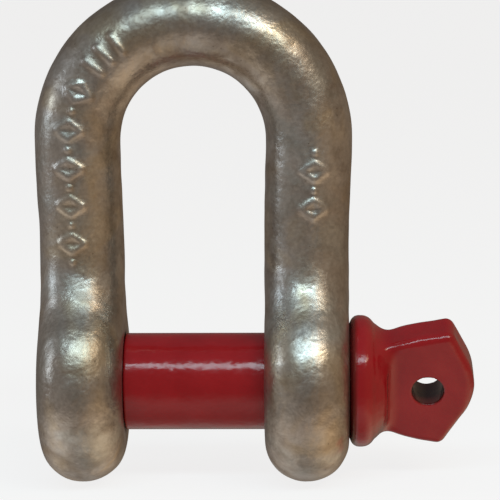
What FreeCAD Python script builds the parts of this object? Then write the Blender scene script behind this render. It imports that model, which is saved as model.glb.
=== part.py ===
"""Dee shackle with a screw pin: a forged bow, and the screw pin that closes its jaw.

The origin is on the pin's axis in the middle of the jaw. X runs along the pin towards its collar, Z runs up to
the crown of the bow, and the flat sides of the D face -Y and +Y. Lengths are in millimetres.
"""
import FreeCAD, Part
import math
import os

Vector = FreeCAD.Vector

# bow
JAW_WIDTH = 31.8
INSIDE_LENGTH = 61.0
BAR_DIAMETER = 19.1
BAR_ROUNDING = 9.5
ARCH_THICKNESS = 19.4
ARCH_SPREAD = 0.6
EAR_DIAMETER = 46.0
EAR_THICKNESS = 19.1
EAR_ROUNDING = 9.3
EAR_TO_LEG_RADIUS = 18.0
FOOT_TOP = 31.0
PLAIN_BORE_DIAMETER = 23.2
BORE_CHAMFER = 0.6

# screw thread, unified coarse 7/8 inch, right hand
PITCH = 25.4 / 9
PITCH_RADIUS = 10.196
FLANK_SLOPE = math.tan(math.radians(30))
FLANK_GAP = 0.08
PIN_CREST_RADIUS = 10.95
PIN_ROOT_RADIUS = 9.45
BORE_CREST_RADIUS = 9.75
BORE_ROOT_RADIUS = 11.25

# screw pin
PIN_DIAMETER = 22.0
SHOULDER_GAP = 0.3
SHOULDER_CHAMFER = 0.5
RELIEF_RADIUS = 9.3
RELIEF_LENGTH = 3.4
THREAD_END = -33.4
TIP_END = -34.8
TIP_RADIUS = 9.3
TIP_CHAMFER = 1.2
COLLAR_GAP = 0.2
COLLAR_DIAMETER = 30.0
COLLAR_WIDTH = 6.0
CREST_RADIUS = 2.95
NECK_RADIUS = 12.1
NECK_LENGTH = 1.5
TAB_THICKNESS = 9.2
TAB_ROOT_WIDTH = 21.4
TAB_SHOULDER_WIDTH = 29.8
TAB_UPPER_SHOULDER_AT = 16.8
TAB_LOWER_SHOULDER_AT = 15.0
TAB_POINT_AT = 24.2
TAB_POINT_RADIUS = 14.0
TAB_CORNER_RADIUS = 2.6
TAB_ROOT_RADIUS = 5.5
TAB_EDGE_RADIUS = 1.2
TAB_TILT = 21.0
EYE_DIAMETER = 7.5
EYE_AT = 11.6

# places that follow from the sizes above
JAW_HALF = JAW_WIDTH / 2
LEG_X = JAW_HALF + EAR_THICKNESS / 2
EAR_OUTER = JAW_HALF + EAR_THICKNESS
BAR_RADIUS = BAR_DIAMETER / 2
EAR_RADIUS = EAR_DIAMETER / 2
INNER_RADIUS = LEG_X + ARCH_SPREAD - ARCH_THICKNESS / 2
ARCH_Z = PIN_DIAMETER / 2 + INSIDE_LENGTH - INNER_RADIUS
COLLAR_START = EAR_OUTER + COLLAR_GAP
COLLAR_END = COLLAR_START + COLLAR_WIDTH


def polygon(points):
    """A closed wire through the points."""
    return Part.makePolygon(points + [points[0]])


def turned(points):
    """A solid of revolution about the pin's axis, from (x, radius) points."""
    outline = [Vector(x, -radius, 0) for x, radius in points]
    face = Part.Face(polygon(outline))
    return face.revolve(Vector(0, 0, 0), Vector(1, 0, 0), 360)


def along_pin(start, end, radius):
    """A cylinder on the pin's axis from start to end."""
    return Part.makeCylinder(radius, end - start, Vector(start, 0, 0), Vector(1, 0, 0))


def rounded_section(centre, outward, half_out, half_y, radius):
    """A rounded rectangle around the bar, square to the bar's line. outward points away from the D's middle."""
    sideways = Vector(0, 1, 0)
    diagonal = radius * math.sqrt(0.5)
    edges = []
    for number, (sign_out, sign_y) in enumerate([(1, 1), (-1, 1), (-1, -1), (1, -1)]):
        across = outward * sign_out
        along = sideways * sign_y
        hub = centre + across * (half_out - radius) + along * (half_y - radius)
        ends = [hub + across * radius, hub + along * radius]
        if number % 2:
            ends.reverse()
        if edges:
            edges.append(Part.makeLine(edges[-1].lastVertex(True).Point, ends[0]))
        edges.append(Part.Arc(ends[0], hub + (across + along) * diagonal, ends[1]).toShape())
    edges.append(Part.makeLine(edges[-1].lastVertex(True).Point, edges[0].firstVertex(True).Point))
    return Part.Wire(edges)


def ear_outline():
    """The ear and the foot of the leg seen along the pin: a disc, blended into the bar by two hollow arcs."""
    hollow_y = BAR_RADIUS + EAR_TO_LEG_RADIUS
    reach = EAR_RADIUS + EAR_TO_LEG_RADIUS
    hollow_z = math.sqrt(reach ** 2 - hollow_y ** 2)
    share = EAR_RADIUS / reach
    on_disc_y = hollow_y * share
    on_disc_z = hollow_z * share
    toward_y = BAR_RADIUS - hollow_y + on_disc_y - hollow_y
    toward_z = on_disc_z - hollow_z
    length = math.hypot(toward_y, toward_z)
    middle_y = hollow_y + toward_y / length * EAR_TO_LEG_RADIUS
    middle_z = hollow_z + toward_z / length * EAR_TO_LEG_RADIUS
    disc = Part.Arc(
        Vector(0, on_disc_y, on_disc_z), Vector(0, 0, -EAR_RADIUS), Vector(0, -on_disc_y, on_disc_z)
    ).toShape()
    left_hollow = Part.Arc(
        Vector(0, -on_disc_y, on_disc_z), Vector(0, -middle_y, middle_z), Vector(0, -BAR_RADIUS, hollow_z)
    ).toShape()
    left_side = Part.makeLine(Vector(0, -BAR_RADIUS, hollow_z), Vector(0, -BAR_RADIUS, FOOT_TOP))
    top = Part.makeLine(Vector(0, -BAR_RADIUS, FOOT_TOP), Vector(0, BAR_RADIUS, FOOT_TOP))
    right_side = Part.makeLine(Vector(0, BAR_RADIUS, FOOT_TOP), Vector(0, BAR_RADIUS, hollow_z))
    right_hollow = Part.Arc(
        Vector(0, BAR_RADIUS, hollow_z), Vector(0, middle_y, middle_z), Vector(0, on_disc_y, on_disc_z)
    ).toShape()
    return Part.Wire([disc, left_hollow, left_side, top, right_side, right_hollow])


def is_rim(edge):
    """True for an edge of the ear's flat sides, but not for the one across the top of the foot."""
    box = edge.BoundBox
    return box.XLength < 1e-6 and box.ZMin < FOOT_TOP - 1e-6


def ear(side):
    """One ear with the foot of its leg, fully rounded around its rim."""
    block = Part.Face(ear_outline()).extrude(Vector(EAR_THICKNESS, 0, 0))
    block.translate(Vector(side * LEG_X - EAR_THICKNESS / 2, 0, 0))
    return block.makeFillet(EAR_ROUNDING, [edge for edge in block.Edges if is_rim(edge)])


def leg_sections(side):
    """The bar's sections up one leg, which leans out a little towards the arch and thickens to it."""
    sections = []
    steps = 5
    for step in range(steps):
        share = step / steps
        eased = share * share * (3 - 2 * share)
        half_out = BAR_RADIUS + (ARCH_THICKNESS / 2 - BAR_RADIUS) * eased
        radius = EAR_ROUNDING + (BAR_ROUNDING - EAR_ROUNDING) * eased
        centre = Vector(side * (LEG_X + ARCH_SPREAD * eased), 0, FOOT_TOP + (ARCH_Z - FOOT_TOP) * share)
        sections.append(rounded_section(centre, Vector(side, 0, 0), half_out, BAR_RADIUS, radius))
    return sections


def arch_sections():
    """The bar's sections over the half-round bend."""
    sections = []
    steps = 12
    for step in range(steps + 1):
        angle = math.pi * step / steps
        outward = Vector(math.cos(angle), 0, math.sin(angle))
        centre = Vector(0, 0, ARCH_Z) + outward * (LEG_X + ARCH_SPREAD)
        sections.append(rounded_section(centre, outward, ARCH_THICKNESS / 2, BAR_RADIUS, BAR_ROUNDING))
    return sections


def bar():
    """The bent bar between the two ears' feet."""
    sections = leg_sections(1) + arch_sections() + leg_sections(-1)[::-1]
    return Part.makeLoft(sections, True, False)


def helical_cutter(start, end, sections):
    """A tooth swept along a right-hand helix on the pin's axis. The sections are (radius, half width) pairs."""
    helix = Part.makeHelix(PITCH, end - start, PITCH_RADIUS)
    lower = [Vector(radius, 0, -half) for radius, half in sections]
    upper = [Vector(radius, 0, half) for radius, half in reversed(sections)]
    tooth = Part.Wire(helix.Edges).makePipeShell([polygon(lower + upper)], True, True)
    tooth.rotate(Vector(0, 0, 0), Vector(0, 1, 0), 90)
    tooth.translate(Vector(start, 0, 0))
    return tooth


def bore_thread_cutter():
    """What the tap takes out of the threaded ear's bore."""
    sections = []
    for radius in (BORE_CREST_RADIUS - 0.2, BORE_ROOT_RADIUS):
        sections.append((radius, PITCH / 4 - (radius - PITCH_RADIUS) * FLANK_SLOPE + FLANK_GAP))
    start = -EAR_OUTER - PITCH
    turns = math.ceil((EAR_THICKNESS + 2 * PITCH) / PITCH)
    return helical_cutter(start, start + turns * PITCH, sections)


def pin_thread_cutter():
    """What the die takes out of the pin's end. It runs half a pitch away from the bore's, so that they mesh."""
    sections = []
    for radius in (PIN_ROOT_RADIUS, PIN_CREST_RADIUS + 0.2):
        sections.append((radius, PITCH / 4 + (radius - PITCH_RADIUS) * FLANK_SLOPE + FLANK_GAP))
    start = -EAR_OUTER - PITCH / 2
    relief_middle = -JAW_HALF + SHOULDER_GAP - RELIEF_LENGTH / 2
    turns = (relief_middle - start) / PITCH
    return helical_cutter(start, start + turns * PITCH, sections)


def threaded(blank, cutter):
    """The blank with its thread cut, checked to have lost the thread's volume."""
    cut = blank.cut(cutter)
    if blank.Volume - cut.Volume < cutter.Volume / 3:
        raise ValueError("the thread was not cut")
    return cut


def countersink(face_x, inward):
    """What opens the mouth of the threaded bore at one face of its ear."""
    mouth = BORE_ROOT_RADIUS + 0.2
    depth = mouth - BORE_CREST_RADIUS
    return turned([
        (face_x - inward, 0),
        (face_x - inward, mouth + 1),
        (face_x + inward * depth, BORE_CREST_RADIUS),
        (face_x + inward * depth, 0),
    ])


def plain_bore():
    """The clearance bore through the other ear, chamfered at both faces."""
    radius = PLAIN_BORE_DIAMETER / 2
    return turned([
        (JAW_HALF - 1, 0),
        (JAW_HALF - 1, radius + BORE_CHAMFER + 1),
        (JAW_HALF + BORE_CHAMFER, radius),
        (EAR_OUTER - BORE_CHAMFER, radius),
        (EAR_OUTER + 1, radius + BORE_CHAMFER + 1),
        (EAR_OUTER + 1, 0),
    ])


def bow():
    """The forged bow with its plain bore and its threaded one. The thread is cut before its mouths are opened."""
    body = bar().fuse([ear(-1), ear(1)])
    body = body.cut(along_pin(-EAR_OUTER - 1, -JAW_HALF + 1, BORE_CREST_RADIUS))
    body = threaded(body, bore_thread_cutter())
    for cutter in (countersink(-EAR_OUTER, 1), countersink(-JAW_HALF, -1), plain_bore()):
        body = body.cut(cutter)
    return body


def threaded_end(shoulder):
    """The pin's threaded end, with its lead-in chamfer and the relief where the thread stops."""
    blank = along_pin(THREAD_END - 2, shoulder, PIN_CREST_RADIUS)
    relief = shoulder - RELIEF_LENGTH
    over = PIN_CREST_RADIUS + 1
    envelope = turned([
        (THREAD_END, 0),
        (THREAD_END, TIP_RADIUS),
        (THREAD_END + over - TIP_RADIUS, over),
        (relief, over),
        (relief, RELIEF_RADIUS),
        (shoulder, RELIEF_RADIUS),
        (shoulder, 0),
    ])
    return threaded(blank, pin_thread_cutter()).common(envelope)


def shank():
    """The round part of the pin, from its thread to the collar."""
    shoulder = -JAW_HALF + SHOULDER_GAP
    radius = PIN_DIAMETER / 2
    plain = turned([
        (shoulder, 0),
        (shoulder, radius - SHOULDER_CHAMFER),
        (shoulder + SHOULDER_CHAMFER, radius),
        (COLLAR_START + 1, radius),
        (COLLAR_START + 1, 0),
    ])
    return plain.fuse(threaded_end(shoulder))


def collar():
    """The collar that stops against the ear, rounded at its crest."""
    radius = COLLAR_DIAMETER / 2
    disc = along_pin(COLLAR_START, COLLAR_END, radius)
    rims = [edge for edge in disc.Edges if edge.Closed and edge.BoundBox.XLength < 1e-6]
    return disc.makeFillet(CREST_RADIUS, rims)


def tab_plan():
    """The tab seen on its flat face: a neck that widens to two shoulders, and a blunt rounded point."""
    start = COLLAR_END - 1
    root = TAB_ROOT_WIDTH / 2
    shoulder = TAB_SHOULDER_WIDTH / 2
    upper_x = COLLAR_END + TAB_UPPER_SHOULDER_AT
    lower_x = COLLAR_END + TAB_LOWER_SHOULDER_AT
    point_x = COLLAR_END + TAB_POINT_AT
    outline = polygon([
        Vector(start, 0, -root),
        Vector(lower_x, 0, -shoulder),
        Vector(point_x, 0, 0),
        Vector(upper_x, 0, shoulder),
        Vector(start, 0, root),
    ])
    plate = Part.Face(outline).extrude(Vector(0, 40, 0))
    plate.translate(Vector(0, -20, 0))
    plate = plate.makeFillet(TAB_POINT_RADIUS, corners_at(plate, point_x))
    return plate.makeFillet(TAB_CORNER_RADIUS, corners_at(plate, upper_x) + corners_at(plate, lower_x))


def corners_at(plate, x):
    """The plate's corner edges at that x, those that run through its thickness."""
    return [edge for edge in plate.Edges if edge.BoundBox.YLength > 39 and near(edge.BoundBox.XMin, x)]


def near(first, second):
    """True where two lengths are the same."""
    return abs(first - second) < 1e-3


def tab_profile():
    """The tab seen on its edge: flat, and swelling to the collar at its root."""
    start = COLLAR_END - 1
    root = COLLAR_END + TAB_ROOT_RADIUS
    end = COLLAR_END + TAB_POINT_AT + 1
    half = TAB_THICKNESS / 2
    wide = half + TAB_ROOT_RADIUS
    drop = TAB_ROOT_RADIUS * (1 - math.sqrt(0.5))
    edges = []
    for side in (1, -1):
        swell = Part.Arc(
            Vector(COLLAR_END, side * wide, 0),
            Vector(COLLAR_END + drop, side * (half + drop), 0),
            Vector(root, side * half, 0),
        ).toShape()
        flat = Part.makeLine(Vector(root, side * half, 0), Vector(end, side * half, 0))
        inside = Part.makeLine(Vector(start, side * wide, 0), Vector(COLLAR_END, side * wide, 0))
        edges.extend([swell, flat, inside])
    edges.append(Part.makeLine(Vector(start, wide, 0), Vector(start, -wide, 0)))
    edges.append(Part.makeLine(Vector(end, half, 0), Vector(end, -half, 0)))
    outline = Part.Wire(Part.sortEdges(edges)[0])
    profile = Part.Face(outline).extrude(Vector(0, 0, 40))
    profile.translate(Vector(0, 0, -20))
    return profile


def is_tab_rim(edge):
    """True for an edge where a flat face of the tab meets its sides. The fillet runs on from it to the root."""
    box = edge.BoundBox
    on_face = box.YLength < 1e-3 and near(abs(box.YMin), TAB_THICKNESS / 2)
    return on_face and box.XMax > COLLAR_END + TAB_ROOT_RADIUS + 0.1


def tab():
    """The forged tab with its eye, tilted about the pin's axis."""
    blank = tab_plan().common(tab_profile())
    blank = blank.makeFillet(TAB_EDGE_RADIUS, [edge for edge in blank.Edges if is_tab_rim(edge)])
    envelope = turned([
        (COLLAR_END - 1, 0),
        (COLLAR_END - 1, NECK_RADIUS),
        (COLLAR_END + NECK_LENGTH, NECK_RADIUS),
        (COLLAR_END + TAB_UPPER_SHOULDER_AT, 22),
        (COLLAR_END + TAB_POINT_AT + 1, 22),
        (COLLAR_END + TAB_POINT_AT + 1, 0),
    ])
    neck = along_pin(COLLAR_END - 1, COLLAR_END + NECK_LENGTH, NECK_RADIUS - 0.2)
    eye = Part.makeCylinder(
        EYE_DIAMETER / 2, 40, Vector(COLLAR_END + EYE_AT, -20, 0), Vector(0, 1, 0)
    )
    blank = blank.common(envelope).fuse(neck).cut(eye)
    blank.rotate(Vector(0, 0, 0), Vector(1, 0, 0), TAB_TILT)
    return blank


def screw_pin():
    """The pin: threaded shank, collar and tab in one forging."""
    return shank().fuse([collar(), tab()])


def pin_tip():
    """The plain chamfered end of the pin, past its thread."""
    return turned([
        (TIP_END, 0),
        (TIP_END, TIP_RADIUS - TIP_CHAMFER),
        (TIP_END + TIP_CHAMFER, TIP_RADIUS),
        (THREAD_END, TIP_RADIUS),
        (THREAD_END, 0),
    ])


def single_solid(shape):
    """The shape as one clean solid."""
    refined = shape.removeSplitter()
    solids = refined.Solids
    if len(solids) != 1:
        raise ValueError(f"expected one solid, got {len(solids)}")
    return solids[0]


def main():
    os.makedirs("parts", exist_ok=True)
    makers = {"bow": bow, "screw_pin": screw_pin, "pin_tip": pin_tip}
    for name, make in makers.items():
        solid = single_solid(make())
        solid.exportStep(f"parts/{name}.step")
        print(name, round(solid.Volume), "mm3", solid.isValid())


main()
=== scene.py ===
"""Looks of a dee shackle: a galvanised forged bow and a red painted screw pin, in a soft studio.

The two forgings are modelled as distance fields, in millimetres, and turned into meshes. The field
functions take x, y and z arrays and give the distance to the surface, below zero inside. Blender's
objects, lights and camera are in metres.
"""

import math

import bpy
import numpy as np
import openvdb
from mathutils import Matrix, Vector


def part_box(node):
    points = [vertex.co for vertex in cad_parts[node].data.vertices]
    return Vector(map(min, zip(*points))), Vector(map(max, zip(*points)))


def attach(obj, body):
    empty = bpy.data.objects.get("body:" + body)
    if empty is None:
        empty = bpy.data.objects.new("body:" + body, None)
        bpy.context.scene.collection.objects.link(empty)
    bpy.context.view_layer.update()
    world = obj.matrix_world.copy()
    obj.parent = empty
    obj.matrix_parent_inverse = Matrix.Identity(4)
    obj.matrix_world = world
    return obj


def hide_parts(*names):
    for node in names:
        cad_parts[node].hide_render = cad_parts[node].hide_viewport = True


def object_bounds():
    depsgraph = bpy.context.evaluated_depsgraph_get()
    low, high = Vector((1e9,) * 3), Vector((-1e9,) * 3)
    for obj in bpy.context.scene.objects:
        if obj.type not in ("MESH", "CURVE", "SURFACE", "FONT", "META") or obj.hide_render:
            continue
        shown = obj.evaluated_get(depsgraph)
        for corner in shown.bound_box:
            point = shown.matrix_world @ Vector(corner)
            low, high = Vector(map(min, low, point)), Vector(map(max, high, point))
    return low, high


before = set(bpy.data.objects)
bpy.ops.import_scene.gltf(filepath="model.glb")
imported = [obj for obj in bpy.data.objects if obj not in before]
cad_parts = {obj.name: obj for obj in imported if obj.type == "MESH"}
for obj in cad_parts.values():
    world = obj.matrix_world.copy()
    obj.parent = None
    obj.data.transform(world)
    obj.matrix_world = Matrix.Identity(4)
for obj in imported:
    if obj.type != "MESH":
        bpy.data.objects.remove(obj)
cad_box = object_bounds()

MM = 0.001
VOXEL_BOW = 0.535
VOXEL_PIN = 0.36

# what a field gives where its shape can't reach
FAR_AWAY = 1e3

# the CAD solids' own boxes, in millimetres
bow_low, bow_high = (np.array(corner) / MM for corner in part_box("bow"))
pin_low, pin_high = (np.array(corner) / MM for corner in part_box("screw_pin"))
tip_low, tip_high = (np.array(corner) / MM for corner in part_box("pin_tip"))

# the bow's bar, ears and arch
JAW_HALF = 15.9
BAR_RADIUS = 9.55
BAR_ROUNDING = 9.5
EAR_RADIUS = -bow_low[2]
EAR_ROUNDING = 9.3
EAR_OUTER = JAW_HALF + 2 * BAR_RADIUS
LEG_X = JAW_HALF + BAR_RADIUS
FOOT_TOP = 31.0
HOLLOW_RADIUS = 18.0
ARCH_SPREAD = 0.6
ARCH_HALF = 9.7
ARCH_RADIUS = LEG_X + ARCH_SPREAD
ARCH_Z = bow_high[2] - ARCH_RADIUS - ARCH_HALF

# the forging's skin: lumps as (height, wavelength, seed), and the line where the dies met. Both fade out
# round the bores
BOW_LUMPS = [(0.06, 24, 1), (0.045, 9, 2), (0.015, 4, 3)]
SKIN_SUNK = 0.12
PARTING_LINE_HEIGHT = 0.12
PARTING_LINE_WIDTH = 1.1
SEAT_RADIUS = 15
SEAT_FADE = 4

# the bores, with their worn mouths
PLAIN_BORE_RADIUS = 11.6
PLAIN_MOUTH = 0.9
MOUTH_BLEND = 0.5
BORE_EDGE = 0.6
THREAD_MOUTH = 0.2
BORE_CREST = 9.75
BORE_ROOT = 11.25
BORE_THREAD_SCALE = math.cos(math.radians(40))

# the screw thread, 7/8 inch and right-handed
PITCH = 25.4 / 9
PITCH_RADIUS = 10.196
FLANK_SLOPE = math.tan(math.radians(30))
FLANK_GAP = 0.08
PIN_CREST = 10.95
PIN_ROOT = 9.45
PIN_THREAD_SCALE = 0.8

# the pin's round part, from its thread to its neck
THREAD_END = -33.4
RELIEF_X = -JAW_HALF - 3.1
RELIEF_RADIUS = 9.3
SHOULDER_X = -JAW_HALF + 0.05
SHOULDER_CORNER = 0.25
PIN_RADIUS = 11.0
OVERLAP = 1
COLLAR_START = EAR_OUTER + 0.2
COLLAR_END = COLLAR_START + 6.0
COLLAR_RADIUS = 15.0
COLLAR_CORNER = 2.1
COLLAR_BACK_ANGLE = math.radians(60)
COLLAR_BACK_ROUNDING = 0.8
RIM_WIDTH = 4.5
RIM_BLEND = 1.6
NECK_RADIUS = 12.0
NECK_LENGTH = 2.4
NECK_CORNER = 3.4
NECK_FILLET = 1.8

# the pin's plain end. Its rim is the dome's height behind its middle
TIP_RADIUS = 9.25
TIP_CORNER = 1.1
TIP_DOME = 0.25

# the tab. Each corner is given as its distance past the collar and its distance from the pin's axis
TAB_TILT = math.radians(21)
TAB_START = COLLAR_START + 3
TAB_HALF = 4.6
TAB_EDGE = 1.9
TAB_ROOT = (-1, 11.8)
TAB_UPPER_SHOULDER = (16.8, 14.9)
TAB_LOWER_SHOULDER = (15.0, 14.9)
TAB_POINT = (24.2, 0)
TAB_CORNER = 1.5
TAB_POINT_BLEND = 7.0
TAB_SWELL = 3.0
SWELL_SHARE = 0.98
TAB_FILLET = 3.0
CONE_START = COLLAR_END + 1.5
CONE_SLOPE = 0.62
CONE_SCALE = 0.85
CONE_BLEND = 3.0
EYE_RADIUS = 3.6
EYE_EDGE = 0.35
EYE_X = COLLAR_END + 11.6

# the paint: waves as (height, wavelength, seed), how far it lies below the CAD solid, and where it starts
PAINT_WAVES = [(0.05, 12, 11), (0.02, 4.5, 12)]
PAINT_SUNK = 0.04
PAINT_START = COLLAR_START + 1.5
PAINT_FADE = 3

# the raised marks on the bow's front. A mark's place is its distance along the bar from the pin's height
MARK_HEIGHT = 0.42
MARK_REACH = 1.3
MARK_EDGE = 1.2
MARK_ROOM = 4
MARK_OFFSET = 1.4
MARK_SPACING = 4.2
MARKED_WIDTH = 9
MARKED_FROM = 24
MARKED_TO = 86
SKIN_RADIUS = 9.6
UNMARKED = 9.0
LOZENGE_CORNERS = [(-1.9, 0), (0, 2.9), (1.9, 0), (0, -2.9)]
LOZENGE = list(zip(LOZENGE_CORNERS, LOZENGE_CORNERS[1:] + LOZENGE_CORNERS[:1]))
PIP = [((0, 0), (0, 0))]
RIB = [((0, -2.3), (0, 2.3))]
LEFT_ROW = [(29.0 + MARK_SPACING * place, LOZENGE if place % 2 else PIP) for place in range(10)]
LEFT_ROW += [(place, RIB) for place in (73.0, 76.5, 80.0)]
RIGHT_ROW = [(40.8 + MARK_SPACING * place, PIP if place % 2 else LOZENGE) for place in range(4)]

# wear, grime and painted shade: how strong each kind is, from 0 to 1, and where it lies
GRIME_AND_SHADE_EDGE = 0.5
# painted shade darkens the inside of both bores
BORE_SHADE = 0.75
BORE_SHADE_INSET = 0.8
BORE_SHADE_RADIUS = 12.2
# painted shade darkens the foot of each raised mark
FOOT_SHADE = 0.7
FOOT_STEP = 0.45
# painted shade darkens the top of the arch, more towards the crown
ARCH_SHADE = 0.30
ARCH_SHADE_START = 56
ARCH_SHADE_FADE = 22
RUB = 0.5
RUB_START = 0.1
SMEAR = 0.42
SMEAR_CENTRE = (33.6, -17, -12.3)
SMEAR_SIZE = (1.5, 4.0, 3.2)
SMEAR_REACH = 1.25
SMEAR_SHARPNESS = 1.1
SMEAR_RIPPLES = [(0.25, 3.2, 21)]
# painted shade darkens the inside of the tab's eye
EYE_SHADE = 0.85
EYE_SHADE_EDGE = 0.25
THREAD_GRIME = 0.5
# a painted shadow of the ear darkens the collar's edge beside it
SEAT_SHADOW = 0.65
SEAT_SHADOW_WIDTH = 1.9
SEAT_SHADOW_FADE = 1.25
TIP_GRIME = 0.25

# meshing
MARGIN_VOXELS = 3
SLAB_VOXELS = 24
BACKGROUND = 5.0
SLOPE_STEP = 0.04
SETTLE_ROUNDS = 3
LONGEST_MOVE = 0.2
LEAST_STEEPNESS = 0.15

# colours of the coat and the paint. A ramp is a list of stops, each a position and a colour
ZINC_CLOUDS = [(0.32, (0.34, 0.297, 0.257)), (0.50, (0.44, 0.410, 0.372)), (0.66, (0.49, 0.474, 0.450))]
ZINC_TINTS = [(0.36, (0.95, 1.0, 1.02)), (0.50, (1.0, 1.0, 1.0)), (0.66, (1.07, 1.0, 0.86))]
ZINC_DARK = (0.30, 0.258, 0.218)
# the colour of the painted shade on the bow
ZINC_SHADE = (0.15, 0.115, 0.085)
ZINC_RUBBED = (0.60, 0.58, 0.55)
ZINC_SMEARED = (0.36, 0.045, 0.045)
ZINC_PIT = (0.13, 0.10, 0.075)
PIT_EDGE = [(0.05, (1, 1, 1)), (0.15, (0, 0, 0))]
PAINT_CLOUDS = [(0.3, (0.285, 0.0065, 0.010)), (0.7, (0.345, 0.010, 0.014))]
# the colour of the painted shade in the eye and at the collar's edge, and of the grime on the thread and
# end
PAINT_GRIME_AND_SHADE = (0.035, 0.010, 0.008)

# the room that the piece reflects, by height from straight down to straight up, and from left to right
ROOM_SEEN = (0.88, 0.88, 0.88)
ROOM_HEIGHTS = [
    (0.00, (0.36, 0.32, 0.28)),
    (0.06, (0.62, 0.56, 0.49)),
    (0.15, (0.73, 0.65, 0.57)),
    (0.25, (0.42, 0.355, 0.30)),
    (0.35, (0.205, 0.17, 0.145)),
    (0.62, (0.215, 0.18, 0.155)),
    (0.76, (0.20, 0.18, 0.165)),
    (1.00, (0.22, 0.22, 0.22)),
]
ROOM_SIDES = [
    (0.0, (1.80, 1.90, 2.0)),
    (0.3, (1.30, 1.32, 1.36)),
    (0.5, (1.0, 1.0, 1.04)),
    (0.8, (1.75, 1.52, 1.22)),
]
FLOOR_REACH = 6.0
FLOOR_COLOUR = (0.15, 0.15, 0.15)
FLOOR_GLOW = 0.82
WINDOW_COLOUR = (0.66, 0.91, 1.0)
LAMP_COLOUR = (1.0, 0.78, 0.54)
SIDE_COLOUR = (0.72, 0.86, 1.0)

# the camera
CAMERA_TARGET = Vector((0.01264, 0, 0.03024))
CAMERA_DISTANCE = 0.553
CAMERA_ELEVATION = math.radians(8.7)
CAMERA_AZIMUTH = math.radians(-1.54)
CAMERA_ROLL = math.radians(-0.4)
SENSOR_WIDTH = 36.0
FOCAL_LENGTH = 4.882 * SENSOR_WIDTH


# ---------------------------------------------------------------- fields

def smooth_min(a, b, reach):
    """The nearer of two distances, blended over reach."""
    h = np.clip(0.5 + 0.5 * (b - a) / reach, 0, 1)
    return b + (a - b) * h - reach * h * (1 - h)


def smooth_max(a, b, reach):
    """The farther of two distances, blended over reach."""
    return -smooth_min(-a, -b, reach)


def rounded_corner(a, b, radius):
    """Inside both a and b, with their shared edge rounded."""
    outside = np.hypot(np.maximum(a + radius, 0), np.maximum(b + radius, 0))
    return outside + np.minimum(np.maximum(a, b) + radius, 0) - radius


def ease(value):
    """0 to 1 with a soft start and stop."""
    t = np.clip(value, 0, 1)
    return t * t * (3 - 2 * t)


def ripples(x, y, z, wavelength, seed, waves=14):
    """Smooth random lumps of about that wavelength, roughly from -1 to 1."""
    random = np.random.default_rng(seed)
    total = 0
    for _ in range(waves):
        direction = random.normal(size=3)
        direction *= 2 * math.pi / wavelength * random.uniform(0.7, 1.3) / np.linalg.norm(direction)
        phase = random.uniform(0, 2 * math.pi)
        total = total + np.sin(x * direction[0] + y * direction[1] + z * direction[2] + phase)
    return total / math.sqrt(waves)


def layered_ripples(x, y, z, layers):
    """The sum of several ripples, each given as its height, wavelength and seed."""
    return sum(height * ripples(x, y, z, wavelength, seed) for height, wavelength, seed in layers)


def up_the_leg(z):
    """0 at the foot of the leg and 1 where the arch starts."""
    return ease((z - FOOT_TOP) / (ARCH_Z - FOOT_TOP))


def along_and_across(x, z):
    """How far along the bent bar a point is, and how far off the bar's centre line."""
    side = np.abs(x)
    on_leg = side - (LEG_X + ARCH_SPREAD * up_the_leg(z))
    over = np.hypot(side, z - ARCH_Z) - ARCH_RADIUS
    turn = np.arctan2(np.maximum(z - ARCH_Z, 0), np.maximum(side, 1e-6))
    above = z > ARCH_Z
    return np.where(above, ARCH_Z + ARCH_RADIUS * turn, z), np.where(above, over, on_leg)


def ear_outline(y, z):
    """The disc of the ear and the strip of the leg, blended by a hollow arc, seen along the pin."""
    side = np.abs(y)
    disc = np.hypot(side, z) - EAR_RADIUS
    strip = np.where(z > 0, side - BAR_RADIUS, FAR_AWAY)
    hollow_y = BAR_RADIUS + HOLLOW_RADIUS
    hollow_z = math.sqrt((EAR_RADIUS + HOLLOW_RADIUS) ** 2 - hollow_y ** 2)
    from_y = side - hollow_y
    from_z = z - hollow_z
    in_hollow = (from_z < 0) & (from_y * hollow_z - from_z * hollow_y < 0)
    hollow = HOLLOW_RADIUS - np.hypot(from_y, from_z)
    return np.where(in_hollow, hollow, np.minimum(disc, strip))


def bow_blank(x, y, z):
    """The smooth forging before it is bored."""
    _, across = along_and_across(x, z)
    half = BAR_RADIUS + (ARCH_HALF - BAR_RADIUS) * up_the_leg(z)
    rounding = EAR_ROUNDING + (BAR_ROUNDING - EAR_ROUNDING) * up_the_leg(z)
    return rounded_corner(np.abs(across) - half, ear_outline(y, z), rounding)


def helix_phase(x, y, z, start):
    """The distance along the pin to the nearest groove centre of a right-hand thread that starts there."""
    turn = (np.arctan2(z, y) + math.pi / 2) / (2 * math.pi)
    place = (x - start) / PITCH - turn
    return np.abs(place - np.round(place)) * PITCH


def threaded_bore(x, y, z):
    """The threaded hole in the left ear."""
    offset = helix_phase(x, y, z, -EAR_OUTER - PITCH)
    reach = (PITCH / 4 + FLANK_GAP - offset) / FLANK_SLOPE + PITCH_RADIUS
    wall = np.clip(reach, BORE_CREST, BORE_ROOT)
    radius = np.hypot(y, z)
    hole = (radius - wall) * BORE_THREAD_SCALE
    mouth_depth = np.minimum(x + EAR_OUTER, -JAW_HALF - x)
    mouth = (radius - (BORE_ROOT + THREAD_MOUTH - mouth_depth)) * math.sqrt(0.5)
    return np.where(x < 0, np.minimum(hole, mouth), FAR_AWAY)


def plain_bore(x, y, z):
    """The clearance hole in the right ear, with worn edges."""
    radius = np.hypot(y, z)
    hole = radius - PLAIN_BORE_RADIUS
    mouth_depth = np.minimum(x - JAW_HALF, EAR_OUTER - x)
    mouth = (radius - (PLAIN_BORE_RADIUS + PLAIN_MOUTH - mouth_depth)) * math.sqrt(0.5)
    return np.where(x > 0, smooth_min(hole, mouth, MOUTH_BLEND), FAR_AWAY)


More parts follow.
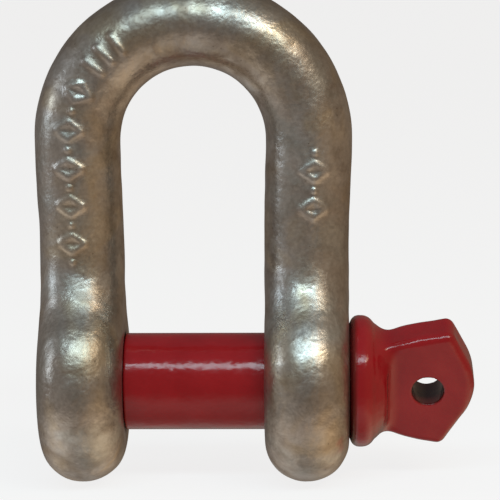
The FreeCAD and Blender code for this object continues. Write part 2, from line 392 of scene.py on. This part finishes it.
def stroke(u, v, start, end):
    """The distance from a short straight stroke on the bar's skin."""
    du, dv = end[0] - start[0], end[1] - start[1]
    length_squared = max(du * du + dv * dv, 1e-9)
    share = np.clip(((u - start[0]) * du + (v - start[1]) * dv) / length_squared, 0, 1)
    return np.hypot(u - start[0] - share * du, v - start[1] - share * dv)


def nearest_stroke(along, around, left):
    """The distance from the strokes of the nearest mark on the same leg."""
    nearest = np.full(along.shape, UNMARKED)
    for row, on_leg in ((LEFT_ROW, left), (RIGHT_ROW, ~left)):
        for place, strokes in row:
            near = on_leg & (np.abs(along - place) < MARK_ROOM)
            u = along[near] - place
            v = around[near] - MARK_OFFSET
            for start, end in strokes:
                nearest[near] = np.minimum(nearest[near], stroke(u, v, start, end))
    return nearest


def foundry_marks(x, y, z):
    """How far the raised forged marks stand out. They are plain shapes, and no letters."""
    along, across = along_and_across(x, z)
    around = SKIN_RADIUS * np.arctan2(across, -y)
    marked = (y < 0) & (np.abs(around) < MARKED_WIDTH) & (along > MARKED_FROM) & (along < MARKED_TO)
    here = [np.broadcast_to(values, marked.shape)[marked] for values in (along, around, x < 0)]
    nearest = np.full(marked.shape, UNMARKED, np.float32)
    nearest[marked] = nearest_stroke(*here)
    return MARK_HEIGHT * ease((MARK_REACH - nearest) / MARK_EDGE)


def bow_field(x, y, z):
    """The bow with its uneven skin, its marks and both bores."""
    away_from_seats = ease((np.hypot(y, z) - SEAT_RADIUS) / SEAT_FADE)
    lumps = layered_ripples(x, y, z, BOW_LUMPS) - SKIN_SUNK
    parting_line = PARTING_LINE_HEIGHT * np.exp(-((y / PARTING_LINE_WIDTH) ** 2))
    solid = bow_blank(x, y, z) - (lumps + parting_line) * away_from_seats - foundry_marks(x, y, z)
    solid = smooth_max(solid, -plain_bore(x, y, z), BORE_EDGE)
    return np.maximum(solid, -threaded_bore(x, y, z))


def thread_crest(x, y, z):
    """The radius of the pin's thread at a place on its end."""
    offset = helix_phase(x, y, z, -EAR_OUTER - PITCH / 2)
    reach = (offset - PITCH / 4 - FLANK_GAP) / FLANK_SLOPE + PITCH_RADIUS
    return np.clip(reach, PIN_ROOT, PIN_CREST)


def shank_field(x, y, z):
    """The thread, the relief behind it and the plain shank."""
    radius = np.hypot(y, z)
    lead_in = RELIEF_RADIUS + x - THREAD_END
    thread_ends = np.maximum(THREAD_END - x, x - RELIEF_X)
    thread = np.maximum(radius - np.minimum(thread_crest(x, y, z), lead_in), thread_ends)
    relief_ends = np.maximum(RELIEF_X - OVERLAP - x, x - SHOULDER_X - OVERLAP)
    relief = np.maximum(radius - RELIEF_RADIUS, relief_ends)
    plain = rounded_corner(radius - PIN_RADIUS, SHOULDER_X - x, SHOULDER_CORNER)
    plain = np.maximum(plain, x - COLLAR_START - OVERLAP)
    return np.minimum(np.minimum(thread * PIN_THREAD_SCALE, relief), plain)


def collar_field(x, y, z):
    """The collar, with a rounded rim and a coned back, and the neck behind it."""
    radius = np.hypot(y, z)
    neck = rounded_corner(radius - NECK_RADIUS, x - COLLAR_END - NECK_LENGTH, NECK_CORNER)
    neck = np.maximum(neck, COLLAR_START - x)
    outward = radius - COLLAR_RADIUS
    past_rim = x - COLLAR_START - RIM_WIDTH
    back = math.cos(COLLAR_BACK_ANGLE) * outward + math.sin(COLLAR_BACK_ANGLE) * past_rim
    collar = smooth_max(rounded_corner(outward, COLLAR_START - x, COLLAR_CORNER), back, RIM_BLEND)
    collar = rounded_corner(collar, x - COLLAR_END - COLLAR_BACK_ROUNDING, COLLAR_BACK_ROUNDING)
    return smooth_min(collar, neck, NECK_FILLET)


def beyond_line(x, across, start, end):
    """The distance outside a line that runs along the tab's edge, with the tab on its right."""
    run = end[0] - start[0]
    rise = end[1] - start[1]
    from_x = x - COLLAR_END - start[0]
    from_across = across - start[1]
    return (from_across * run - from_x * rise) / math.hypot(run, rise)


def tab_plan(x, across):
    """The tab seen on its flat face: a root that widens to two shoulders, and a blunt point."""
    upper_flank = beyond_line(x, across, TAB_ROOT, TAB_UPPER_SHOULDER)
    lower_flank = beyond_line(x, -across, TAB_ROOT, TAB_LOWER_SHOULDER)
    upper_end = beyond_line(x, across, TAB_UPPER_SHOULDER, TAB_POINT)
    lower_end = beyond_line(x, -across, TAB_LOWER_SHOULDER, TAB_POINT)
    ends = smooth_max(upper_end, lower_end, TAB_POINT_BLEND)
    return rounded_corner(np.maximum(upper_flank, lower_flank), ends, TAB_CORNER)


def across_tab(y, z):
    """How far a point is from the pin's axis along the tab's width."""
    return z * math.cos(TAB_TILT) - y * math.sin(TAB_TILT)


def tab_field(x, y, z):
    """The flat tab without its eye. It thickens into its root and stays inside a cone from the neck."""
    depth = y * math.cos(TAB_TILT) + z * math.sin(TAB_TILT)
    into_root = np.clip(COLLAR_END + TAB_SWELL - x, 0, TAB_SWELL)
    swell = TAB_SWELL - np.sqrt(TAB_SWELL ** 2 - SWELL_SHARE * into_root ** 2)
    plate = rounded_corner(tab_plan(x, across_tab(y, z)), np.abs(depth) - TAB_HALF - swell, TAB_EDGE)
    plate = np.maximum(plate, TAB_START - x)
    cone = (np.hypot(y, z) - NECK_RADIUS - CONE_SLOPE * (x - CONE_START)) * CONE_SCALE
    return smooth_max(plate, cone, CONE_BLEND)


def eye_field(x, y, z):
    """The round eye through the tab."""
    return np.hypot(x - EYE_X, across_tab(y, z)) - EYE_RADIUS


def pin_field(x, y, z):
    """The painted pin."""
    round_part = np.minimum(shank_field(x, y, z), collar_field(x, y, z))
    solid = smooth_min(round_part, tab_field(x, y, z), TAB_FILLET)
    paint = layered_ripples(x, y, z, PAINT_WAVES) - PAINT_SUNK
    solid = solid - paint * ease((x - PAINT_START) / PAINT_FADE)
    return smooth_max(solid, -eye_field(x, y, z), EYE_EDGE)


def tip_field(x, y, z):
    """The plain end of the pin, slightly domed."""
    radius = np.hypot(y, z)
    dome = tip_low[0] + TIP_DOME * (radius / RELIEF_RADIUS) ** 2 - x
    return np.maximum(rounded_corner(radius - TIP_RADIUS, dome, TIP_CORNER), x - THREAD_END)


# ---------------------------------------------------------------- meshes

def gradient(field, points):
    """The field's slope at the points, by differences."""
    slopes = []
    for axis in range(3):
        ahead = points.copy()
        behind = points.copy()
        ahead[:, axis] += SLOPE_STEP
        behind[:, axis] -= SLOPE_STEP
        slopes.append((field(*ahead.T) - field(*behind.T)) / (2 * SLOPE_STEP))
    return np.stack(slopes, axis=1)


def settle(field, points):
    """Moves mesh points onto the field's surface."""
    for _ in range(SETTLE_ROUNDS):
        slope = gradient(field, points)
        steepness = np.maximum((slope ** 2).sum(axis=1), LEAST_STEEPNESS)
        distance = np.clip(field(*points.T), -LONGEST_MOVE, LONGEST_MOVE)
        points = points - slope * (distance / steepness)[:, None]
    return points


def surface(field, low, high, voxel):
    """The points, in millimetres, and the quads of the field's surface inside a box."""
    low = np.asarray(low, float) - MARGIN_VOXELS * voxel
    counts = np.ceil((np.asarray(high) + MARGIN_VOXELS * voxel - low) / voxel).astype(int)
    axes = [low[axis] + voxel * np.arange(counts[axis]) for axis in range(3)]
    x, y, z = np.meshgrid(*axes, indexing="ij", sparse=True)
    values = np.empty(counts, np.float32)
    for first in range(0, counts[0], SLAB_VOXELS):
        slab = slice(first, first + SLAB_VOXELS)
        values[slab] = field(x[slab], y, z)
    grid = openvdb.FloatGrid(BACKGROUND)
    grid.copyFromArray(values)
    points, quads = grid.convertToQuads(isovalue=0.0)
    return settle(field, low + points.astype(float) * voxel), quads


def mesh_from_field(name, field, low, high, voxel, wear_and_shade):
    """A smooth mesh of the field's surface, as an object in metres, with wear, grime and painted shade
    stored at its points.
    """
    points, quads = surface(field, low, high, voxel)
    mesh = bpy.data.meshes.new(name)
    mesh.from_pydata((points * MM).tolist(), [], quads.tolist())
    mesh.update()
    outward = sum(face.area * face.normal.dot(face.center) for face in mesh.polygons)
    if outward < 0:
        mesh.flip_normals()
    mesh.shade_smooth()
    for layer, amounts in wear_and_shade(*points.T).items():
        attribute = mesh.attributes.new(layer, "FLOAT", "POINT")
        attribute.data.foreach_set("value", np.clip(amounts, 0, 1).astype(np.float32))
    piece = bpy.data.objects.new(name, mesh)
    bpy.context.scene.collection.objects.link(piece)
    return piece


def paint_smear(x, y, z):
    """A ragged blot of the pin's paint on the right ear, beside the collar."""
    places = zip((x, y, z), SMEAR_CENTRE, SMEAR_SIZE)
    from_centre = np.sqrt(sum(((value - centre) / size) ** 2 for value, centre, size in places))
    reach = SMEAR_REACH + layered_ripples(x, y, z, SMEAR_RIPPLES)
    return ease((reach - from_centre) * SMEAR_SHARPNESS)


def bow_wear_and_shade(x, y, z):
    """Painted shade in the bores, round the foot of the marks and over the top of the arch, rubbed marks,
    and a smear of paint.
    """
    height = foundry_marks(x, y, z)
    steps = [(dx, dz) for dx in (-FOOT_STEP, FOOT_STEP) for dz in (-FOOT_STEP, FOOT_STEP)]
    around = [foundry_marks(x + dx, y, z + dz) for dx, dz in steps]
    foot = np.clip(np.max(around, axis=0) - height, 0, 1)
    in_ear = ease((EAR_OUTER - BORE_SHADE_INSET - np.abs(x)) / GRIME_AND_SHADE_EDGE)
    in_bore = in_ear * ease((BORE_SHADE_RADIUS - np.hypot(y, z)) / GRIME_AND_SHADE_EDGE)
    on_arch = ease((z - ARCH_SHADE_START) / ARCH_SHADE_FADE)
    # the grime value here is all painted shade: in the bores, at the marks' feet and over the arch's top
    return {
        "grime": BORE_SHADE * in_bore + FOOT_SHADE * foot + ARCH_SHADE * on_arch,
        "rubbed": RUB * (height - RUB_START) * (1 - in_bore),
        "smear": SMEAR * paint_smear(x, y, z),
    }


def pin_grime_and_shade(x, y, z):
    """Painted shade inside the eye and a painted shadow on the collar's edge against the ear, and grime on
    the thread.
    """
    in_eye = ease((EYE_SHADE_EDGE - eye_field(x, y, z)) / EYE_SHADE_EDGE) * (x > COLLAR_END)
    on_thread = ease((RELIEF_X + GRIME_AND_SHADE_EDGE - x) / GRIME_AND_SHADE_EDGE)
    on_collar = np.hypot(y, z) > PLAIN_BORE_RADIUS
    at_seat = ease((COLLAR_START + SEAT_SHADOW_WIDTH - x) / SEAT_SHADOW_FADE) * on_collar
    # the eye gets painted shade and the seat a painted shadow; the thread gets grime
    in_hollows = np.maximum(EYE_SHADE * in_eye, THREAD_GRIME * on_thread)
    return {"grime": np.maximum(in_hollows, SEAT_SHADOW * at_seat)}


def tip_wear(x, y, z):
    """A little grime over the whole end."""
    return {"grime": np.full_like(x, TIP_GRIME)}


# ---------------------------------------------------------------- materials

def fill_ramp(node, stops):
    """Sets a colour ramp's stops."""
    while len(node.color_ramp.elements) < len(stops):
        node.color_ramp.elements.new(0.5)
    for element, (position, colour) in zip(node.color_ramp.elements, stops):
        element.position = position
        element.color = (*colour, 1)


class Tree:
    """Short helpers for the nodes of a material or of the world."""

    def __init__(self, owner, coordinates):
        self.nodes = owner.node_tree.nodes
        self.links = owner.node_tree.links
        self.place = self.nodes.new("ShaderNodeTexCoord").outputs[coordinates]

    def link(self, source, target):
        """Joins an output to an input."""
        self.links.new(source, target)

    def set_or_link(self, socket, value):
        """Gives an input a number, a colour or another node's output."""
        if isinstance(value, (int, float)):
            socket.default_value = value
        elif isinstance(value, tuple):
            socket.default_value = (*value, 1)
        else:
            self.link(value, socket)

    def noise(self, per_metre, detail, roughness, distortion=0.0):
        """Cloudy noise, about 0.5 on average."""
        node = self.nodes.new("ShaderNodeTexNoise")
        self.link(self.place, node.inputs["Vector"])
        node.inputs["Scale"].default_value = per_metre
        node.inputs["Detail"].default_value = detail
        node.inputs["Roughness"].default_value = roughness
        node.inputs["Distortion"].default_value = distortion
        return node.outputs["Fac"]

    def attribute(self, name):
        """One of the values of wear, grime and painted shade stored at the mesh's points."""
        node = self.nodes.new("ShaderNodeAttribute")
        node.attribute_name = name
        return node.outputs["Fac"]

    def cells(self, per_metre):
        """The distance from the nearest of many scattered points."""
        node = self.nodes.new("ShaderNodeTexVoronoi")
        self.link(self.place, node.inputs["Vector"])
        node.inputs["Scale"].default_value = per_metre
        return node.outputs["Distance"]

    def ramp(self, source, stops):
        """A colour for each value of the source."""
        node = self.nodes.new("ShaderNodeValToRGB")
        fill_ramp(node, stops)
        self.link(source, node.inputs["Fac"])
        return node.outputs["Color"]

    def rescaled(self, source, before, after):
        """The source's values, moved from one range to another and cut off at its ends."""
        node = self.nodes.new("ShaderNodeMapRange")
        self.link(source, node.inputs["Value"])
        node.inputs["From Min"].default_value, node.inputs["From Max"].default_value = before
        node.inputs["To Min"].default_value, node.inputs["To Max"].default_value = after
        return node.outputs["Result"]

    def math(self, operation, first, second):
        """The sum or product of two values."""
        node = self.nodes.new("ShaderNodeMath")
        node.operation = operation
        self.set_or_link(node.inputs[0], first)
        self.set_or_link(node.inputs[1], second)
        return node.outputs["Value"]

    def mix(self, factor, first, second, blend="MIX"):
        """Two colours mixed."""
        node = self.nodes.new("ShaderNodeMix")
        node.data_type = "RGBA"
        node.blend_type = blend
        self.set_or_link(node.inputs["Factor"], factor)
        colours = [socket for socket in node.inputs if socket.type == "RGBA"]
        self.set_or_link(colours[0], first)
        self.set_or_link(colours[1], second)
        return [socket for socket in node.outputs if socket.type == "RGBA"][0]

    def multiplied(self, first, second):
        """The product of two colours."""
        return self.mix(1.0, first, second, "MULTIPLY")

    def bump(self, height, distance, strength, under=None):
        """A surface direction that follows the height, on top of another if one is given."""
        node = self.nodes.new("ShaderNodeBump")
        self.link(height, node.inputs["Height"])
        node.inputs["Distance"].default_value = distance
        node.inputs["Strength"].default_value = strength
        if under is not None:
            self.link(under, node.inputs["Normal"])
        return node.outputs["Normal"]


def new_material(name):
    """A material with an empty node tree, and its Principled shader."""
    material = bpy.data.materials.new(name)
    material.use_nodes = True
    nodes = material.node_tree.nodes
    nodes.clear()
    output = nodes.new("ShaderNodeOutputMaterial")
    shader = nodes.new("ShaderNodeBsdfPrincipled")
    material.node_tree.links.new(shader.outputs["BSDF"], output.inputs["Surface"])
    return material, shader


def zinc_colour(tree, patches, grain):
    """Cloudy grey-brown with a slight tint, speckled, then painted shade, rubbed wear and a paint smear
    laid on, then pitted.
    """
    clouds = tree.noise(per_metre=42, detail=4, roughness=0.62, distortion=0.5)
    tints = tree.noise(per_metre=75, detail=2, roughness=0.5, distortion=0.8)
    colour = tree.ramp(clouds, ZINC_CLOUDS)
    colour = tree.mix(tree.rescaled(patches, (0.42, 0.68), (0.0, 0.9)), colour, ZINC_DARK)
    colour = tree.multiplied(colour, tree.rescaled(grain, (0.3, 0.7), (0.88, 1.10)))
    colour = tree.multiplied(colour, tree.ramp(tints, ZINC_TINTS))
    # painted shade, rubbed wear and a paint smear, each by its value at the mesh's points
    for layer, wear_and_shade_colour in (("grime", ZINC_SHADE), ("rubbed", ZINC_RUBBED), ("smear", ZINC_SMEARED)):
        colour = tree.mix(tree.attribute(layer), colour, wear_and_shade_colour)
    pits = tree.ramp(tree.cells(per_metre=600), PIT_EDGE)
    pits = tree.math("MULTIPLY", pits, tree.rescaled(patches, (0.50, 0.62), (0.0, 0.7)))
    return tree.mix(pits, colour, ZINC_PIT)


def zinc_material():
    """Dull galvanised steel: cloudy grey-brown, with a fine grain and small dark pits."""
    material, shader = new_material("zinc")
    tree = Tree(material, "Object")
    patches = tree.noise(per_metre=210, detail=3, roughness=0.55, distortion=0.2)
    grain = tree.noise(per_metre=1100, detail=3, roughness=0.6)
    fine = tree.noise(per_metre=3300, detail=2, roughness=0.5)
    tree.link(zinc_colour(tree, patches, grain), shader.inputs["Base Color"])
    shader.inputs["Metallic"].default_value = 0.95
    cloudy = tree.rescaled(patches, (0.35, 0.68), (0.31, 0.46))
    grainy = tree.rescaled(grain, (0.3, 0.7), (-0.03, 0.03))
    tree.link(tree.math("ADD", cloudy, grainy), shader.inputs["Roughness"])
    normal = tree.bump(patches, distance=0.0009, strength=0.42)
    normal = tree.bump(grain, distance=0.00016, strength=0.17, under=normal)
    normal = tree.bump(fine, distance=0.00006, strength=0.12, under=normal)
    tree.link(normal, shader.inputs["Normal"])
    return material


def paint_material():
    """Deep red enamel over a forging, glossy and a little uneven."""
    material, shader = new_material("red_paint")
    tree = Tree(material, "Object")
    clouds = tree.noise(per_metre=120, detail=3, roughness=0.55)
    grain = tree.noise(per_metre=900, detail=3, roughness=0.5)
    # the grime value darkens the paint: painted shade in the eye and at the collar's edge, grime on the
    # thread and end
    colour = tree.mix(tree.attribute("grime"), tree.ramp(clouds, PAINT_CLOUDS), PAINT_GRIME_AND_SHADE)
    tree.link(colour, shader.inputs["Base Color"])
    tree.link(tree.rescaled(grain, (0.3, 0.7), (0.12, 0.22)), shader.inputs["Roughness"])
    shader.inputs["Specular IOR Level"].default_value = 0.36
    shader.inputs["Coat Weight"].default_value = 0.12
    shader.inputs["Coat Roughness"].default_value = 0.06
    normal = tree.bump(clouds, distance=0.0012, strength=0.35)
    normal = tree.bump(grain, distance=0.00012, strength=0.4, under=normal)
    tree.link(normal, shader.inputs["Normal"])
    return material


# ---------------------------------------------------------------- studio

def area_light(name, place, aim, size, power, colour):
    """A soft rectangular light that the camera doesn't see."""
    data = bpy.data.lights.new(name, "AREA")
    data.shape = "RECTANGLE"
    data.size, data.size_y = size
    data.energy = power
    data.color = colour
    light = bpy.data.objects.new(name, data)
    light.location = place
    light.visible_camera = False
    light.rotation_euler = (Vector(aim) - Vector(place)).to_track_quat("-Z", "Y").to_euler()
    bpy.context.scene.collection.objects.link(light)


def room_colour(tree):
    """What the piece reflects: a bright floor below, a dim brown room, and brighter sides."""
    parts = tree.nodes.new("ShaderNodeSeparateXYZ")
    tree.link(tree.place, parts.inputs["Vector"])
    height = tree.rescaled(parts.outputs["Z"], (-1, 1), (0, 1))
    across = tree.rescaled(parts.outputs["X"], (-1, 1), (0, 1))
    away = tree.rescaled(parts.outputs["Y"], (0.1, 0.8), (1.0, 0.7))
    colour = tree.multiplied(tree.ramp(height, ROOM_HEIGHTS), tree.ramp(across, ROOM_SIDES))
    return tree.multiplied(colour, away)


def room():
    """The world: plain pale behind the piece, and a room in its reflections."""
    world = bpy.data.worlds.new("room")
    bpy.context.scene.world = world
    world.use_nodes = True
    world.node_tree.nodes.clear()
    tree = Tree(world, "Generated")
    output = tree.nodes.new("ShaderNodeOutputWorld")
    seen = tree.nodes.new("ShaderNodeBackground")
    tree.set_or_link(seen.inputs["Color"], ROOM_SEEN)
    reflected = tree.nodes.new("ShaderNodeBackground")
    tree.link(room_colour(tree), reflected.inputs["Color"])
    path = tree.nodes.new("ShaderNodeLightPath")
    mix = tree.nodes.new("ShaderNodeMixShader")
    tree.link(path.outputs["Is Camera Ray"], mix.inputs["Fac"])
    tree.link(reflected.outputs["Background"], mix.inputs[1])
    tree.link(seen.outputs["Background"], mix.inputs[2])
    tree.link(mix.outputs["Shader"], output.inputs["Surface"])


def floor_sheet():
    """The pale floor that the piece stands on."""
    mesh = bpy.data.meshes.new("floor")
    level = cad_box[0][2]
    corners = [(-1, -1), (1, -1), (1, 1), (-1, 1)]
    mesh.from_pydata([(x * FLOOR_REACH, y * FLOOR_REACH, level) for x, y in corners], [], [(0, 1, 2, 3)])
    floor = bpy.data.objects.new("floor", mesh)
    bpy.context.scene.collection.objects.link(floor)
    material, shader = new_material("floor")
    shader.inputs["Base Color"].default_value = (*FLOOR_COLOUR, 1)
    shader.inputs["Roughness"].default_value = 1.0
    shader.inputs["Specular IOR Level"].default_value = 0.0
    shader.inputs["Emission Color"].default_value = (1, 1, 1, 1)
    shader.inputs["Emission Strength"].default_value = FLOOR_GLOW
    mesh.materials.append(material)
    floor.visible_glossy = False
    floor.visible_diffuse = False


def studio():
    """A pale floor, a wide cool window and a warm lamp in front, and a small cool light at the left."""
    room()
    floor_sheet()
    area_light(
        "window", place=(0.04, -0.52, 0.57), aim=(0, 0, 0.05),
        size=(0.80, 0.15), power=3.3, colour=WINDOW_COLOUR,
    )
    area_light(
        "lamp", place=(0.44, -0.43, 0.53), aim=(0, 0, 0.05),
        size=(0.34, 0.12), power=1.0, colour=LAMP_COLOUR,
    )
    area_light(
        "side", place=(-0.60, -0.06, 0.15), aim=(0, 0, 0.02),
        size=(0.07, 0.20), power=0.36, colour=SIDE_COLOUR,
    )


def camera():
    """The photographer's view: close to square on, and a little from above."""
    data = bpy.data.cameras.new("camera")
    data.sensor_width = SENSOR_WIDTH
    data.lens = FOCAL_LENGTH
    view = bpy.data.objects.new("camera", data)
    level = math.cos(CAMERA_ELEVATION)
    forward = Vector((
        math.sin(CAMERA_AZIMUTH) * level,
        math.cos(CAMERA_AZIMUTH) * level,
        -math.sin(CAMERA_ELEVATION),
    ))
    view.location = CAMERA_TARGET - forward * CAMERA_DISTANCE
    view.rotation_euler = forward.to_track_quat("-Z", "Y").to_euler()
    view.rotation_euler.rotate_axis("Z", CAMERA_ROLL)
    bpy.context.scene.collection.objects.link(view)
    bpy.context.scene.camera = view


def main():
    """Builds the pieces, the studio and the camera."""
    bpy.context.scene.view_settings.view_transform = "Standard"
    zinc = zinc_material()
    paint = paint_material()
    bow = mesh_from_field("forged_bow", bow_field, bow_low, bow_high, VOXEL_BOW, bow_wear_and_shade)
    bow.data.materials.append(zinc)
    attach(bow, "bow")
    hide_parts("bow")
    pin = mesh_from_field("painted_pin", pin_field, pin_low, pin_high, VOXEL_PIN, pin_grime_and_shade)
    pin.data.materials.append(paint)
    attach(pin, "pin")
    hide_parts("screw_pin")
    tip = mesh_from_field("pin_end", tip_field, tip_low, tip_high, VOXEL_PIN, tip_wear)
    tip.data.materials.append(paint)
    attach(tip, "pin_carrier")
    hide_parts("pin_tip")
    studio()
    camera()


main()
